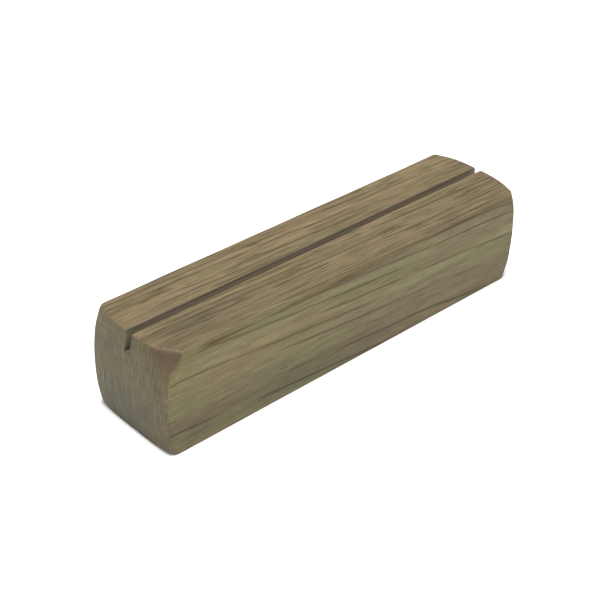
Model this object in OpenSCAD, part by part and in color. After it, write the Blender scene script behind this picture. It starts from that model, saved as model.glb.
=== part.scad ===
// Slotted hardwood block that holds a table number card upright.
// One piece of oak: a square bar, planed on four sides, sawn with one slot along
// its top and sanded round at both ends. Millimetres, +Z up. The origin is the
// centre of the face that it stands on, and the grain runs along X.

/* [Block] */
// Length of the bar, along the grain
block_l = 150; // [80:1:300]
// Width of the bar across its base
block_w = 35; // [26:0.5:60]
// Height of the bar
block_h = 35; // [26:0.5:60]

/* [Card slot] */
// Width of the slot, one pass of the saw blade
slot_w = 2.5; // [1:0.1:6]
// Depth of the slot below the top face
slot_depth = 7; // [3:0.5:15]

/* [Long edges] */
// Radius of the two long edges on top
top_edge_r = 1.2; // [0.5:0.1:4]
// Radius of the two long edges underneath
base_edge_r = 0.5; // [0.3:0.1:3]

/* [Ends] */
// Radius of the ball shape that the end corners are sanded to
end_ball_r = 68; // [50:1:90]
// Diameter of the flat left in the middle of each end
end_flat_d = 34; // [24:1:44]
// How far the middle of that flat lies below mid height
end_flat_drop = 2.5; // [0:0.5:4]
// Radius of the sanded edge all round each end
end_edge_r = 0.8; // [0.3:0.1:2]

/* [Hidden] */
$fn = 96;

// How far a cut or a stock shape runs past the faces that it trims
overrun = 1;
// Distance from an end's face to the centre of its ball shape
ball_set_in = sqrt(pow(end_ball_r, 2) - pow(end_flat_d / 2, 2));
oak_colour = [0.53, 0.47, 0.36];

// Rectangle centred on the origin, w along X and h along Y, with one corner
// radius for the two corners at +Y and one for the two at -Y.
module eased_rectangle(w, h, upper_r, lower_r) {
    for (side = [-1, 1]) {
        translate([side * (w / 2 - upper_r), h / 2 - upper_r]) circle(r = upper_r);
        translate([side * (w / 2 - lower_r), lower_r - h / 2]) circle(r = lower_r);
    }
    translate([upper_r - w / 2, -h / 2 + lower_r])
        square([w - 2 * upper_r, h - lower_r]);
    translate([lower_r - w / 2, -h / 2])
        square([w - 2 * lower_r, h - upper_r]);
    translate([-w / 2, lower_r - h / 2])
        square([w, h - upper_r - lower_r]);
}

// The planed bar: its cross-section, drawn along the grain.
module bar() {
    rotate([90, 0, 90])
        linear_extrude(height = block_l, center = true)
            eased_rectangle(block_w, block_h, top_edge_r, base_edge_r);
}

// Rounds the upright edges at both ends, seen from above.
module end_edges_in_plan() {
    linear_extrude(height = block_h + 2 * overrun, center = true)
        eased_rectangle(block_l, block_w, end_edge_r, end_edge_r);
}

// Rounds the level edges at both ends, seen from the side.
module end_edges_in_profile() {
    rotate([90, 0, 0])
        linear_extrude(height = block_w + 2 * overrun, center = true)
            eased_rectangle(block_l, block_h, end_edge_r, end_edge_r);
}

// What the sander takes off the corners of the end at +X (side = 1) or -X
// (side = -1): all of that end that lies outside its ball shape.
module corner_waste(side) {
    inner_x = max(0, block_l / 2 - ball_set_in);
    outer_x = block_l / 2 + overrun;
    mirror([side < 0 ? 1 : 0, 0, 0])
        difference() {
            translate([inner_x, -block_w / 2 - overrun, -block_h / 2 - overrun])
                cube([outer_x - inner_x, block_w + 2 * overrun, block_h + 2 * overrun]);
            translate([block_l / 2 - ball_set_in, 0, -end_flat_drop])
                rotate([0, 90, 0])
                    sphere(r = end_ball_r);
        }
}

// The bar with the corners of both ends sanded back.
module sanded_bar() {
    difference() {
        bar();
        corner_waste(1);
        corner_waste(-1);
    }
}

// The saw cut, open at the top and at both ends.
module card_slot() {
    translate([-block_l / 2 - overrun, -slot_w / 2, block_h / 2 - slot_depth])
        cube([block_l + 2 * overrun, slot_w, slot_depth + overrun]);
}

module oak_block() {
    color(oak_colour)
        translate([0, 0, block_h / 2])
            difference() {
                intersection() {
                    sanded_bar();
                    end_edges_in_plan();
                    end_edges_in_profile();
                }
                card_slot();
            }
}

oak_block();
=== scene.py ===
import math

import bmesh
import bpy
import numpy as np
from mathutils import Matrix, Vector


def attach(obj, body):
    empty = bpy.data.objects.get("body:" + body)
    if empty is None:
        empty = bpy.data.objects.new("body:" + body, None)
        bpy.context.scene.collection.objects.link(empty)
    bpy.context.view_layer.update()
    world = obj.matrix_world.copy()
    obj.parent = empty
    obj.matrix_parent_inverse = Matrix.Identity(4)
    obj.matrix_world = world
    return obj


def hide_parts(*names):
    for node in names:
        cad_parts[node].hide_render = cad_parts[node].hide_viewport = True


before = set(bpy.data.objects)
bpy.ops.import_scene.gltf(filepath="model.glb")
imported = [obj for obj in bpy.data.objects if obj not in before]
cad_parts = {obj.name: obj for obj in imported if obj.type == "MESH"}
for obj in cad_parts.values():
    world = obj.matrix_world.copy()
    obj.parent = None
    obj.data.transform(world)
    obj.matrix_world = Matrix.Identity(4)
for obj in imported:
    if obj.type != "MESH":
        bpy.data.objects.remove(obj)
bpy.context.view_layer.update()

# A holder for table number cards: one bar of bare oak with a saw cut along its top.
# The grain runs along X, +Z is up and the block stands on z = 0. The shape is worked
# out in millimetres and turned to metres when the mesh is made.
MM = 0.001

# Block
BLOCK_LENGTH = 150.0
BLOCK_WIDTH = 35.0
BLOCK_HEIGHT = 35.0
# Saw cut for the card
SLOT_WIDTH = 2.5
SLOT_DEPTH = 7.0
SLOT_FLOOR = BLOCK_HEIGHT - SLOT_DEPTH
SLOT_MOUTH_RADIUS = 0.18
# How much rounder the lips have worn where they meet the ends, and how far in from
# the ends that goes
SLOT_CORNER_WEAR = 0.3
SLOT_WEAR_REACH = 2.5
# Long edges. The top ones are eased by hand with a sanding block, so their radius
# varies by this share either way, over these lengths along the block, across and up
TOP_EDGE_RADIUS = 1.15
TOP_EDGE_VARIES = 0.15
TOP_EDGE_WAVES = (17.0, 40.0, 40.0)
BASE_EDGE_RADIUS = 0.45
# Ends: a flat in the middle, with the corners sanded back to a ball shape
END_BALL_RADIUS = 68.0
END_FLAT_DIAMETER = 34.0
END_FLAT_DROP = 2.5
END_BLEND_WIDTH = 2.0
# How far the foot of each end has been sanded back
END_FOOT_SET_BACK = 1.2
# Edge round each end, uneven in the same way as the long edges on top
END_EDGE_RADIUS = 0.45
END_EDGE_VARIES = 0.3
END_EDGE_WAVES = (9.0, 5.0, 4.0)
# Extra rounding where three faces meet, and how far along the edges it reaches
CORNER_ROUNDING = 1.8
CORNER_REACH = 5.0
# One top corner has been knocked back with the sander. The cut starts this far
# from the corner along the block, across it and down it. The extra rounding above
# fades out within about CUT_REACH of it.
CUT_CORNER = (-BLOCK_LENGTH / 2, -BLOCK_WIDTH / 2, BLOCK_HEIGHT)
CORNER_CUT = (6.6, 9.7, 10.6)
CUT_REACH = 11.0
# Radius of the cut's edge down to the first of these depths below the top, and how
# much larger it is from the second depth down
CUT_EDGE_RADIUS = 0.9
CUT_EDGE_ROUNDER = 2.9
CUT_EDGE_DEPTHS = (1.5, 5.5)
# How far hand sanding has taken the faces below the true box, and the lengths over
# which that changes
SANDING_DEPTH = 0.06
SANDING_WAVES = (23.0, 9.0, 9.0)

# Making the skin. Near the corners its points are spread evenly over the surface:
# the share moved at a corner, how far out that fades and ends, and how many rounds.
SPREAD_SHARE = 0.9
SPREAD_REACH = 9.0
SPREAD_LIMIT = 22.0
SPREAD_ROUNDS = 40
SETTLING_MOVES = 12


def linear(hex_colour):
    """An sRGB hex colour as linear RGBA."""
    channels = []
    for start in (0, 2, 4):
        value = int(hex_colour[start:start + 2], 16) / 255.0
        if value <= 0.04045:
            channels.append(value / 12.92)
        else:
            channels.append(((value + 0.055) / 1.055) ** 2.4)
    return (*channels, 1.0)


def put(tree, kind, inputs=None, output=0, **settings):
    """Adds one node and returns the output asked for. settings are its properties;
    inputs gives each named or numbered input its value or the socket that feeds it."""
    made = tree.nodes.new(kind)
    for name, value in settings.items():
        setattr(made, name, value)
    for name, value in (inputs or {}).items():
        if isinstance(value, bpy.types.NodeSocket):
            tree.links.new(value, made.inputs[name])
        else:
            made.inputs[name].default_value = value
    return made.outputs[output] if len(made.outputs) else made


# ---------------------------------------------------------------- shape

def rounded_join(a, b, radius):
    """Distance to the solid inside both a and b, its edge rounded to radius."""
    outside = np.hypot(np.maximum(a + radius, 0.0), np.maximum(b + radius, 0.0))
    inside = np.minimum(np.maximum(a + radius, b + radius), 0.0)
    return outside + inside - radius


def blended_join(a, b, width):
    """Distance to the solid inside both a and b, which meet at a shallow angle, with
    the crease between them blended over width."""
    overlap = np.maximum(width - np.abs(a - b), 0.0)
    return np.maximum(a, b) + overlap ** 2 / (4.0 * width)


def slow_wave(points, lengths, phase):
    """A smooth uneven value from 0 to 1 that changes over the given lengths."""
    x, y, z = (points[:, axis] / lengths[axis] for axis in range(3))
    wave = np.sin(2.1 * x + 1.3 * y + phase) + np.sin(3.7 * x - 2.2 * z + 2.0 * phase)
    wave += np.sin(1.2 * x + 2.9 * y - 1.7 * z + 3.0 * phase)
    return 0.5 + wave / 6.0


def uneven(radius, varies, wave):
    """The radius, with its share varies taken off or put on as wave goes from 0 to 1."""
    return radius * (1.0 - varies + 2.0 * varies * wave)


def block_distance(points):
    """Signed distance in millimetres from the block's surface, negative inside."""
    x, y, z = points.T

    # The bar as planed, with its long edges eased
    sanded = SANDING_DEPTH * slow_wave(points, SANDING_WAVES, phase=0.6)
    top_wave = slow_wave(points, TOP_EDGE_WAVES, phase=1.9)
    top_radius = uneven(TOP_EDGE_RADIUS, TOP_EDGE_VARIES, top_wave)
    sides = np.abs(y) - BLOCK_WIDTH / 2 + sanded
    section = rounded_join(sides, z - BLOCK_HEIGHT + sanded, top_radius)
    section = rounded_join(section, -z, BASE_EDGE_RADIUS)

    # Its sanded ends
    ball_inset = math.sqrt(END_BALL_RADIUS ** 2 - (END_FLAT_DIAMETER / 2) ** 2)
    ball_x = np.abs(x) - (BLOCK_LENGTH / 2 - ball_inset)
    ball_z = z - (BLOCK_HEIGHT / 2 - END_FLAT_DROP)
    ball = np.sqrt(ball_x ** 2 + y ** 2 + ball_z ** 2) - END_BALL_RADIUS
    below_middle = np.clip(1.0 - 2.0 * z / BLOCK_HEIGHT, 0.0, 1.0)
    flat = np.abs(x) - BLOCK_LENGTH / 2 + END_FOOT_SET_BACK * below_middle ** 2
    end = blended_join(flat, ball, END_BLEND_WIDTH) + 0.5 * sanded
    end_wave = slow_wave(points, END_EDGE_WAVES, phase=4.2)
    edge_radius = uneven(END_EDGE_RADIUS, END_EDGE_VARIES, end_wave)
    from_corner = np.hypot(BLOCK_WIDTH / 2 - np.abs(y), np.minimum(z, BLOCK_HEIGHT - z))
    rounding = CORNER_ROUNDING * np.exp(-((from_corner / CORNER_REACH) ** 2))
    from_cut = np.linalg.norm(points - CUT_CORNER, axis=1)
    edge_radius = edge_radius + rounding * (1.0 - np.exp(-((from_cut / CUT_REACH) ** 2)))
    bar = rounded_join(section, end, edge_radius)

    # The corner that has been knocked back
    cut_slope = 1.0 / np.array(CORNER_CUT)
    cut = 1.0 - np.abs(points - CUT_CORNER) @ cut_slope
    start, finish = CUT_EDGE_DEPTHS
    below = np.clip((BLOCK_HEIGHT - start - z) / (finish - start), 0.0, 1.0)
    cut_edge = CUT_EDGE_RADIUS + CUT_EDGE_ROUNDER * below
    bar = rounded_join(bar, cut / np.linalg.norm(cut_slope), cut_edge)

    # The saw cut
    slot = np.maximum(np.abs(y) - SLOT_WIDTH / 2, SLOT_FLOOR - z)
    from_end = BLOCK_LENGTH / 2 - np.abs(x)
    wear = np.clip((z - SLOT_FLOOR) / SLOT_DEPTH, 0.0, 1.0)
    wear = wear * np.exp(-((from_end / SLOT_WEAR_REACH) ** 2))
    mouth_radius = SLOT_MOUTH_RADIUS + SLOT_CORNER_WEAR * wear
    return rounded_join(bar, -slot, mouth_radius)


def settle_on_surface(points, moves, share=1.0):
    """Moves points towards the block's surface, each time by share of what is left."""
    step = 0.002
    least_steepness = 0.2
    for _ in range(moves):
        here = block_distance(points)
        slope = np.empty_like(points)
        for axis in range(3):
            ahead = points.copy()
            ahead[:, axis] += step
            slope[:, axis] = (block_distance(ahead) - here) / step
        steepness = np.maximum((slope ** 2).sum(1), least_steepness)
        points = points - share * slope * (here / steepness)[:, None]
    return points


def spread_evenly(points, quads, share):
    """Moves each point by its share of the way to the middle of its neighbours."""
    total = np.zeros_like(points)
    count = np.zeros(len(points))
    for corner in range(4):
        here = quads[:, corner]
        for beside in (quads[:, corner - 1], quads[:, (corner + 1) % 4]):
            np.add.at(total, here, points[beside])
            np.add.at(count, here, 1)
    return points + share[:, None] * (total / count[:, None] - points)


def lines(start, *spans):
    """Positions from start upwards. Each span gives the place it runs to and about
    how far apart its lines are."""
    places = [start]
    for end, apart in spans:
        count = max(1, round((end - places[-1]) / apart))
        places += list(np.linspace(places[-1], end, count + 1)[1:])
    return places


def block_skin():
    """The closed skin of the block: the outside of a stack of small cells with the
    slot's cells left out, settled on the true surface."""
    # The lines lie closest at the edges and around the corner that is cut off
    half_length = BLOCK_LENGTH / 2
    half_width = BLOCK_WIDTH / 2
    half_slot = SLOT_WIDTH / 2
    xs = lines(-half_length, (2.0 - half_length, 0.25), (14.0 - half_length, 0.4),
               (half_length - 2.0, 1.0), (half_length, 0.25))
    ys = lines(-half_width, (1.8 - half_width, 0.2), (11.0 - half_width, 0.4),
               (-half_slot - 1.8, 0.8), (-half_slot, 0.2), (half_slot, 0.5),
               (half_slot + 1.8, 0.2), (half_width - 1.8, 0.8), (half_width, 0.2))
    zs = lines(0.0, (1.5, 0.25), (SLOT_FLOOR - 6.0, 0.8), (SLOT_FLOOR - 1.5, 0.45),
               (SLOT_FLOOR + 1.8, 0.2), (BLOCK_HEIGHT - 1.8, 0.4), (BLOCK_HEIGHT, 0.2))
    solid = np.ones((len(xs) - 1, len(ys) - 1, len(zs) - 1), bool)
    slot_columns = [abs(ys[j] + ys[j + 1]) < SLOT_WIDTH for j in range(len(ys) - 1)]
    slot_layers = [zs[k] + zs[k + 1] > 2 * SLOT_FLOOR for k in range(len(zs) - 1)]
    solid[:, np.array(slot_columns)[:, None] & np.array(slot_layers)[None, :]] = False
    padded = np.pad(solid, 1)
    corners = ((0, 0), (1, 0), (1, 1), (0, 1))
    quads = []
    for axis in range(3):
        across = [a for a in range(3) if a != axis]
        for side in (0, 1):
            beyond = np.roll(padded, 1 if side == 0 else -1, axis)[1:-1, 1:-1, 1:-1]
            cells = np.argwhere(solid & ~beyond)
            order = corners if (side == 1) != (axis == 1) else corners[::-1]
            quad = np.repeat(cells[:, None, :], 4, 1)
            quad[:, :, axis] += side
            for corner, (u, v) in enumerate(order):
                quad[:, corner, across[0]] += u
                quad[:, corner, across[1]] += v
            quads.append(quad)
    lattice = np.concatenate(quads).reshape(-1, 3)
    used, corner_of = np.unique(lattice, axis=0, return_inverse=True)
    points = np.stack([np.array(places)[used[:, a]] for a, places in enumerate((xs, ys, zs))], 1)
    quads = corner_of.reshape(-1, 4)

    # The rounded corners lie furthest from the lattice, so the points there are
    # spread evenly on the way in
    inset = np.array((BLOCK_LENGTH, BLOCK_WIDTH, BLOCK_HEIGHT)) / 2
    inset = inset - np.abs(points - (0.0, 0.0, BLOCK_HEIGHT / 2))
    from_corner = np.linalg.norm(inset, axis=1)
    share = SPREAD_SHARE * np.exp(-((from_corner / SPREAD_REACH) ** 2))
    near = from_corner < SPREAD_LIMIT
    for _ in range(SPREAD_ROUNDS):
        points = spread_evenly(points, quads, share)
        points[near] = settle_on_surface(points[near], 1, share=0.5)
    return settle_on_surface(points, SETTLING_MOVES), quads


def make_block(material):
    """The block as one smooth mesh, in metres."""
    points, quads = block_skin()
    build = bmesh.new()
    corners = [build.verts.new(Vector(p) * MM) for p in points]
    for quad in quads:
        build.faces.new([corners[i] for i in quad]).smooth = True
    mesh = bpy.data.meshes.new("oak_block_skin")
    build.to_mesh(mesh)
    build.free()
    mesh.materials.append(material)
    block = bpy.data.objects.new("oak_block_skin", mesh)
    bpy.context.scene.collection.objects.link(block)
    return block


# ---------------------------------------------------------------- oak

# The stick was sawn a little askew: its fibres drift this far towards -Y and down
# for each millimetre along the block.
FIBRE_DRIFT = (0.0, 0.030, 0.018)
# Middle of the tree in the block's own frame, the growth in a year, and how far a
# ring wanders across and up
PITH = (0.0, -130.0, -40.0)
RING_WIDTH = 1.95
RING_WANDER = (0.0, 2.2, 2.2)
# How far along the grain a row of pores goes before it breaks, on the top and down
# the sides, and the same for its height. Rows a year apart must not match, so each
# is moved on by this much.
ROW_LENGTHS = {"short_dashes": 28.0, "long_dashes": 60.0}
ROW_HEIGHT = 20.0
ROW_SHIFT = 3.7
# A soft stain on the top near one end: its middle, and its reach along and across
STAIN_MIDDLE = (-57.5, -7.27)
STAIN_REACH = (12.5, 4.55)
# A streak of heartwood along the near side: its height at mid length, and how far
# it falls for each millimetre along
HEART_HEIGHT = 32.9
HEART_FALL = 0.010
# Depth of the pattern in the sanded surface, and the roughness of its deepest pores
# and of the planed wood between them
PORE_DEPTH = 0.06
PORE_ROUGHNESS = 0.72
PLANED_ROUGHNESS = 0.56

# Size in millimetres of each pattern in the wood: along the grain, across and up,
# then how many finer layers it holds and how strong those are. Oak's open pores are
# 0.2 to 0.3 mm wide and are drawn at that size. Its fibres are about 0.02 mm wide and
# the scratches of a sanding belt about 0.2 mm, which is too fine to show, so they are
# drawn as bundles 0.3 mm wide and as scratches 0.5 mm wide.
PATTERNS = {
    "wander": ((70.0, 26.0, 26.0), 1.0, 0.5),
    "stain": ((75.0, 16.0, 11.0), 1.0, 0.5),
    "patch": ((26.0, 7.0, 6.0), 1.0, 0.5),
    "heart": ((24.0, 6.0, 1.0), 2.0, 0.6),
    "band": ((110.0, 3.4, 3.4), 1.0, 0.5),
    "streak": ((60.0, 0.9, 0.9), 1.0, 0.6),
    "fibre": ((20.0, 0.28, 0.28), 1.0, 0.6),
    "pore": ((17.0, 0.22, 0.22), 0.0, 0.5),
    "end_patch": ((60.0, 9.0, 5.0), 2.0, 0.5),
    "end_streak": ((60.0, 0.42, 6.0), 2.0, 0.6),
    "end_band": ((60.0, 14.0, 1.4), 1.0, 0.5),
    "end_scratch": ((60.0, 0.5, 8.0), 0.0, 0.5),
    "torn": ((60.0, 0.7, 1.3), 1.0, 0.5),
}

# Plain distances: how far one value lies from a set one. The season is a part of a
# year, facing has no unit, and the rest are millimetres.
DISTANCES = {
    "from_spring": ("season", 0.2),
    "from_end_middle": ("across", 3.0),
    "from_heart": ("heart_line", HEART_HEIGHT),
    "from_lip": ("across", -1.7),
    "from_slot_middle": ("across", 0.0),
    "from_block_middle": ("along", 0.0),
    "facing_end": ("facing_along", 0.0),
}

# Amounts and tones, in the order they are worked out. Five values: what it depends
# on, the two places that it changes between and its values there, eased in and out.
# Two names: the one multiplied by the other. Near means towards -Y, left towards -X.
LEVELS = {
    # Which way the surface faces. The top is given a warmer, darker colour than the sides: partly
    # the wood's own colour on that face, partly painted light and shade that set how bright the top
    # looks beside the sides
    "end_grain": ("facing_end", 0.45, 0.65, 0.0, 1.0),
    "facing_top": ("facing_up", 0.35, 0.85, 0.0, 1.0),
    "shaded_side": ("facing_up", 0.35, 0.85, 1.0, 0.0),
    # Long grain: broad changes of colour and tone
    "tan": ("stain", 0.40, 0.62, 0.0, 1.0),
    "side_top_tone": ("up", 25.0, 31.0, 1.0, 0.92),
    "near_tone": ("across", 1.0, -5.0, 1.0, 0.91),
    "near_half": ("across", 0.0, -8.0, 0.0, 1.0),
    "left_half": ("along", -15.0, -65.0, 0.0, 1.0),
    "near_left": ("near_half", "left_half"),
    "near_left_tone": ("near_left", 0.0, 1.0, 1.0, 0.89),
    "grey_patch": ("patch", 0.50, 0.68, 0.0, 0.13),
    "stain_spot": ("stain_reach", 1.2, 0.3, 0.0, 0.45),
    "top_stain": ("stain_spot", "facing_top"),
    # Painted shade: the long faces grow darker towards the floor
    "low_painted_shade": ("up", 21.0, 10.0, 1.0, 0.75),
    "band_tone": ("band", 0.30, 0.70, 0.87, 1.13),
    "streak_tone": ("streak", 0.30, 0.70, 0.93, 1.07),
    "fibre_tone": ("fibre", 0.30, 0.70, 0.87, 1.13),
    # Long grain: rows of open spring-wood pores, in short dashes on the top and in
    # long ones down the sides, and single pores between them
    "spring": ("from_spring", 0.080, 0.025, 0.0, 1.0),
    "spring_glow": ("from_spring", 0.34, 0.06, 0.0, 1.0),
    "short_dash": ("short_dashes", 0.43, 0.56, 0.0, 0.90),
    "long_dash": ("long_dashes", 0.43, 0.56, 0.0, 0.58),
    "top_dash": ("short_dash", "facing_top"),
    "side_dash": ("long_dash", "shaded_side"),
    "top_rows": ("spring", "top_dash"),
    "side_rows": ("spring", "side_dash"),
    "top_glow": ("spring_glow", "top_dash"),
    "side_glow": ("spring_glow", "side_dash"),
    "top_glow_tone": ("top_glow", 0.0, 1.0, 1.0, 0.83),
    "side_glow_tone": ("side_glow", 0.0, 1.0, 1.0, 0.73),
    "open_pore": ("pore", 0.60, 0.67, 0.0, 1.0),
    "pore_depth": ("facing_top", 0.0, 1.0, 0.24, 0.72),
    "single_pores": ("open_pore", "pore_depth"),
    # End grain
    "end_tan": ("end_patch", 0.40, 0.60, 0.0, 1.0),
    "end_streak_tone": ("end_streak", 0.30, 0.70, 0.80, 1.20),
    "end_band_tone": ("end_band", 0.30, 0.70, 0.93, 1.07),
    "end_low": ("up", 17.0, 9.0, 0.0, 1.0),
    "end_middle": ("from_end_middle", 13.0, 6.0, 0.0, 0.45),
    "end_grey": ("end_low", "end_middle"),
    "scratch": ("end_scratch", 0.73, 0.79, 0.0, 0.4),
    # Painted shade: the ends grow darker towards the floor
    "end_low_painted_shade": ("up", 18.0, 10.0, 1.0, 0.88),
    "torn_fibre": ("torn", 0.54, 0.60, 0.0, 0.35),
    "near_edge": ("across", -15.6, -16.8, 0.0, 1.0),
    "torn_edge": ("torn_fibre", "near_edge"),
    # The corner that is knocked back, burnished by the sander
    "cut_place": ("from_cut", 11.0, 5.0, 0.0, 0.85),
    "cut_slope": ("facing_up", 0.97, 0.85, 0.0, 1.0),
    "cut_face": ("facing_end", 0.25, 0.50, 0.0, 1.0),
    "cut_mark": ("cut_place", "cut_slope"),
    "burnished": ("cut_mark", "cut_face"),
    "cut_top": ("up", 30.0, 34.0, 0.0, 0.3),
    "burnished_top": ("burnished", "cut_top"),
    # A streak of heartwood, and a painted highlight: a paler strip at the near lip of the saw cut,
    # where its edge catches the light
    "near_side": ("across", -15.0, -17.2, 0.0, 1.0),
    "heart_width": ("from_heart", 1.8, 0.4, 0.0, 1.0),
    "heart_break": ("heart", 0.40, 0.60, 0.15, 0.85),
    "heart_streak": ("heart_width", "heart_break"),
    "heartwood": ("heart_streak", "near_side"),
    "lip_width": ("from_lip", 0.8, 0.3, 0.0, 1.0),
    "lip_length": ("along", -30.0, 25.0, 0.0, 1.0),
    "lip": ("lip_width", "lip_length"),
    "lip_painted_highlight": ("lip", 0.0, 1.0, 1.0, 1.13),
    # Inside the saw cut. After the grain on its walls, the rest is painted shade: darker towards
    # the floor of the cut, at its mouth, at the top edge of its lips and towards the ends of the
    # block
    "between_walls": ("from_slot_middle", SLOT_WIDTH / 2 + 0.30, SLOT_WIDTH / 2 + 0.14, 0.0, 1.0),
    "above_floor": ("up", SLOT_FLOOR - 0.25, SLOT_FLOOR - 0.15, 0.0, 1.0),
    "in_slot": ("between_walls", "above_floor"),
    "wall_streak_tone": ("streak", 0.30, 0.70, 0.85, 1.15),
    "wall_painted_shade": ("up", SLOT_FLOOR, BLOCK_HEIGHT - 2.0, 0.5, 1.2),
    "mouth_painted_shade": ("up", BLOCK_HEIGHT - 1.8, BLOCK_HEIGHT, 1.0, 0.60),
    "lip_edge_painted_shade": ("up", BLOCK_HEIGHT - 0.4, BLOCK_HEIGHT - 0.1, 1.0, 0.5),
    "slot_end_painted_shade": ("from_block_middle", 66.0, 75.0, 1.0, 0.6),
}

# What lies over each colour, in order. A colour is laid over it by the level; None
# makes it lighter or darker by the level.
SIDE_LAYERS = [("tan", "746748"), ("side_top_tone", None)]
TOP_LAYERS = [("near_tone", None), ("near_left_tone", None)]
# The last layer on the long grain is painted shade, darker towards the floor
LONG_GRAIN_LAYERS = [
    ("grey_patch", "5f583d"), ("top_stain", "46422f"), ("band_tone", None),
    ("streak_tone", None), ("fibre_tone", None), ("top_glow_tone", None),
    ("side_glow_tone", None), ("top_rows", "30260f"), ("side_rows", "30260f"),
    ("single_pores", "30260f"), ("low_painted_shade", None),
]
# The second last layer on the end grain is painted shade, darker towards the floor
END_LAYERS = [
    ("end_tan", "5b5239"), ("end_streak_tone", None), ("end_band_tone", None),
    ("end_grey", "4d483f"), ("scratch", "8c876e"), ("end_low_painted_shade", None),
    ("torn_edge", "7a735c"),
]
EDGE_LAYERS = [
    # The second of these layers is a painted highlight along the near lip of the saw cut
    ("heartwood", "45310f"), ("lip_painted_highlight", None), ("burnished", "574733"),
    ("burnished_top", "30281d"),
]
# After its grain, the saw cut's layers are painted shade
SLOT_LAYERS = [
    ("wall_streak_tone", None), ("wall_painted_shade", None), ("mouth_painted_shade", None),
    ("lip_edge_painted_shade", None), ("slot_end_painted_shade", None),
]
# Colours, in the order they are worked out: the sRGB colour or the earlier colour
# that each starts from, and its layers.
COLOURS = {
    "side": ("706a48", SIDE_LAYERS),
    "top": ("6a5c43", TOP_LAYERS),
    "end": ("59533b", END_LAYERS),
    "slot": ("8c806b", SLOT_LAYERS),
    # On upward faces the top colour lies over the side colour: partly wood colour, partly painted
    # light and shade between top and sides
    "long_grain": ("side", [("facing_top", "top")] + LONG_GRAIN_LAYERS),
    "outside": ("long_grain", [("end_grain", "end")] + EDGE_LAYERS),
    "oak": ("outside", [("in_slot", "slot")]),
}


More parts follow.
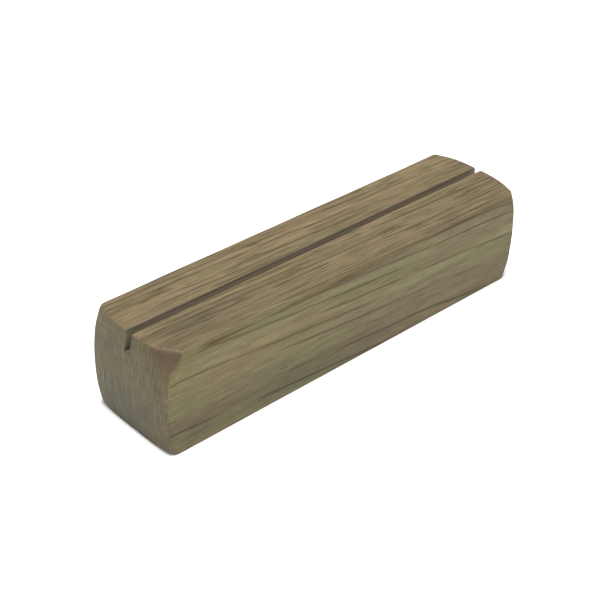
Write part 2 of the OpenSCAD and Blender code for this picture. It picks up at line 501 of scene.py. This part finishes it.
def bare_oak():
    """Bare oak, planed on its long faces and belt sanded on its ends, with no varnish.
    Planing opens the pores cleanly, so each growth ring shows as a thin dark line on
    top and as a soft, wider band down the sides, where the rings are met at a low
    angle. The belt smears the pores of the end grain and leaves faint upright
    scratches. Bare wood has a weak, wide highlight and no clear reflection."""
    material = bpy.data.materials.new("bare_oak")
    material.use_nodes = True
    tree = material.node_tree
    tree.nodes.clear()
    level = {}

    # Place in the block, in millimetres, and which way the surface faces
    place = put(tree, "ShaderNodeTexCoord", output="Object")
    place_mm = put(tree, "ShaderNodeVectorMath", {0: place, 3: 1 / MM}, operation="SCALE")
    facing = put(tree, "ShaderNodeNewGeometry", output="Normal")
    for name, source, axis in (("along", place_mm, 0), ("across", place_mm, 1), ("up", place_mm, 2),
                               ("facing_along", facing, 0), ("facing_up", facing, 2)):
        level[name] = put(tree, "ShaderNodeSeparateXYZ", {0: source}, output=axis)

    # The patterns run along the fibres
    grain = put(tree, "ShaderNodeVectorMath",
                {0: level["along"], 1: FIBRE_DRIFT, 2: place_mm}, operation="MULTIPLY_ADD")
    for name, (size, layers, strength) in PATTERNS.items():
        spread = put(tree, "ShaderNodeMapping",
                     {"Vector": grain, "Scale": [1.0 / length for length in size]})
        wanted = 1 if name == "wander" else 0
        level[name] = put(tree, "ShaderNodeTexNoise",
                          {"Vector": spread, "Scale": 1.0, "Detail": layers,
                           "Roughness": strength}, output=wanted)

    # Growth rings: distance from the pith in years, then the whole year and the season
    bent = put(tree, "ShaderNodeVectorMath", {0: level["wander"], 1: RING_WANDER, 2: grain},
               operation="MULTIPLY_ADD")
    cross = put(tree, "ShaderNodeVectorMath", {0: bent, 1: (0.0, 1.0, 1.0)}, operation="MULTIPLY")
    reach = put(tree, "ShaderNodeVectorMath", {0: cross, 1: PITH}, output=1, operation="DISTANCE")
    years = put(tree, "ShaderNodeMath", {0: reach, 1: RING_WIDTH}, operation="DIVIDE")
    year = put(tree, "ShaderNodeMath", {0: years}, operation="FLOOR")
    level["season"] = put(tree, "ShaderNodeMath", {0: years}, operation="FRACT")

    # Each year's row of pores comes and goes along the grain
    row_place = put(tree, "ShaderNodeCombineXYZ", {0: level["along"], 1: year, 2: level["up"]})
    for name, length in ROW_LENGTHS.items():
        spread = put(tree, "ShaderNodeMapping",
                     {"Vector": row_place, "Scale": (1 / length, ROW_SHIFT, 1 / ROW_HEIGHT)})
        level[name] = put(tree, "ShaderNodeTexNoise",
                          {"Vector": spread, "Scale": 1.0, "Detail": 1.0})

    # Where a few single marks lie: the stain, the corner that is cut off and the
    # streak of heartwood
    from_stain = put(tree, "ShaderNodeVectorMath", {0: place_mm, 1: (*STAIN_MIDDLE, 0.0)},
                     operation="SUBTRACT")
    stain_scale = (1 / STAIN_REACH[0], 1 / STAIN_REACH[1], 0.0)
    stain_place = put(tree, "ShaderNodeVectorMath", {0: from_stain, 1: stain_scale},
                      operation="MULTIPLY")
    level["stain_reach"] = put(tree, "ShaderNodeVectorMath", {0: stain_place},
                               output=1, operation="LENGTH")
    level["from_cut"] = put(tree, "ShaderNodeVectorMath", {0: place_mm, 1: CUT_CORNER},
                            output=1, operation="DISTANCE")
    level["heart_line"] = put(tree, "ShaderNodeMath",
                              {0: level["along"], 1: HEART_FALL, 2: level["up"]},
                              operation="MULTIPLY_ADD")

    # The distances, then the amounts and tones that are worked out from them
    for name, (source, middle) in DISTANCES.items():
        moved = put(tree, "ShaderNodeMath", {0: level[source], 1: middle}, operation="SUBTRACT")
        level[name] = put(tree, "ShaderNodeMath", {0: moved}, operation="ABSOLUTE")
    for name, step in LEVELS.items():
        if len(step) == 2:
            level[name] = put(tree, "ShaderNodeMath", {0: level[step[0]], 1: level[step[1]]},
                              operation="MULTIPLY")
        else:
            inputs = {0: level[step[0]], 1: step[1], 2: step[2], 3: step[3], 4: step[4]}
            level[name] = put(tree, "ShaderNodeMapRange", inputs, interpolation_type="SMOOTHSTEP")

    # Each colour with its layers over it
    colours = {}
    for name, (start, layers) in COLOURS.items():
        colour = colours[start] if start in colours else linear(start)
        for amount, over in layers:
            if over is None:
                inputs = {0: 1.0, 6: colour, 7: level[amount]}
                blend = "MULTIPLY"
            else:
                upper = colours[over] if over in colours else linear(over)
                inputs = {0: level[amount], 6: colour, 7: upper}
                blend = "MIX"
            colour = put(tree, "ShaderNodeMix", inputs, output=2, data_type="RGBA",
                         blend_type=blend)
        colours[name] = colour

    # Relief: open pores sink below the sanded surface
    relief = level["fibre"]
    for name, depth in (("top_rows", -0.55), ("side_rows", -0.85), ("open_pore", -0.40)):
        relief = put(tree, "ShaderNodeMath", {0: level[name], 1: depth, 2: relief},
                     operation="MULTIPLY_ADD")
    bump = put(tree, "ShaderNodeBump",
               {"Height": relief, "Strength": 0.6, "Distance": PORE_DEPTH * MM})
    rough = put(tree, "ShaderNodeMapRange",
                {0: relief, 1: 0.0, 2: 0.7, 3: PORE_ROUGHNESS, 4: PLANED_ROUGHNESS})
    surface = put(tree, "ShaderNodeBsdfPrincipled",
                  {"Base Color": colours["oak"], "Roughness": rough, "IOR": 1.5,
                   "Specular IOR Level": 0.25, "Normal": bump})
    put(tree, "ShaderNodeOutputMaterial", {"Surface": surface})
    return material


# ---------------------------------------------------------------- studio

def studio():
    """A white paper sheet under a wide soft light, in a white room. The sheet is
    uncoated and matt, so it shows soft shadows and no highlight."""
    world = bpy.data.worlds.new("white_room")
    bpy.context.scene.world = world
    world.use_nodes = True
    world.node_tree.nodes.clear()
    room = put(world.node_tree, "ShaderNodeBackground",
               {"Color": linear("ffffff"), "Strength": 0.55})
    put(world.node_tree, "ShaderNodeOutputWorld", {"Surface": room})

    lamp = bpy.data.lights.new("soft_box", "AREA")
    lamp.shape = "SQUARE"
    lamp.size = 0.5
    lamp.energy = 26.0
    soft_box = bpy.data.objects.new("soft_box", lamp)
    soft_box.location = (-0.10, -0.10, 1.3)
    aim = Vector((0.0, 0.0, 0.0)) - soft_box.location
    soft_box.rotation_euler = aim.to_track_quat("-Z", "Y").to_euler()
    bpy.context.scene.collection.objects.link(soft_box)

    sheet = bmesh.new()
    bmesh.ops.create_grid(sheet, x_segments=1, y_segments=1, size=3.0)
    mesh = bpy.data.meshes.new("paper_sweep")
    sheet.to_mesh(mesh)
    sheet.free()
    paper = bpy.data.materials.new("white_paper")
    paper.use_nodes = True
    paper.node_tree.nodes.clear()
    matt = put(paper.node_tree, "ShaderNodeBsdfPrincipled",
               {"Base Color": linear("f6f6f6"), "Roughness": 0.9})
    put(paper.node_tree, "ShaderNodeOutputMaterial", {"Surface": matt})
    mesh.materials.append(paper)
    sweep = bpy.data.objects.new("paper_sweep", mesh)
    bpy.context.scene.collection.objects.link(sweep)


def camera():
    """A camera that looks down on one end and one long side. Its distance and the
    place it aims at, right and up of the block's middle, are in millimetres."""
    azimuth = math.radians(-43.64)
    height = math.radians(33.93)
    roll = math.radians(1.67)
    distance = 444.8
    aim = (-5.87, -3.33)
    back = Vector((math.sin(azimuth) * math.cos(height),
                   -math.cos(azimuth) * math.cos(height),
                   math.sin(height)))
    level = Vector((math.cos(azimuth), math.sin(azimuth), 0.0))
    upright = back.cross(level)
    right = math.cos(roll) * level + math.sin(roll) * upright
    up = -math.sin(roll) * level + math.cos(roll) * upright
    place = back * distance + right * aim[0] + up * aim[1]
    place = (place + Vector((0, 0, BLOCK_HEIGHT / 2))) * MM
    lens = bpy.data.cameras.new("camera")
    lens.sensor_width = 36.0
    lens.lens = 84.144
    viewer = bpy.data.objects.new("camera", lens)
    turn = Matrix((right, up, back)).transposed().to_4x4()
    viewer.matrix_world = Matrix.Translation(place) @ turn
    bpy.context.scene.collection.objects.link(viewer)
    bpy.context.scene.camera = viewer


block = make_block(bare_oak())
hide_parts("oak_block")
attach(block, "root")
studio()
camera()
bpy.context.scene.view_settings.view_transform = "Standard"
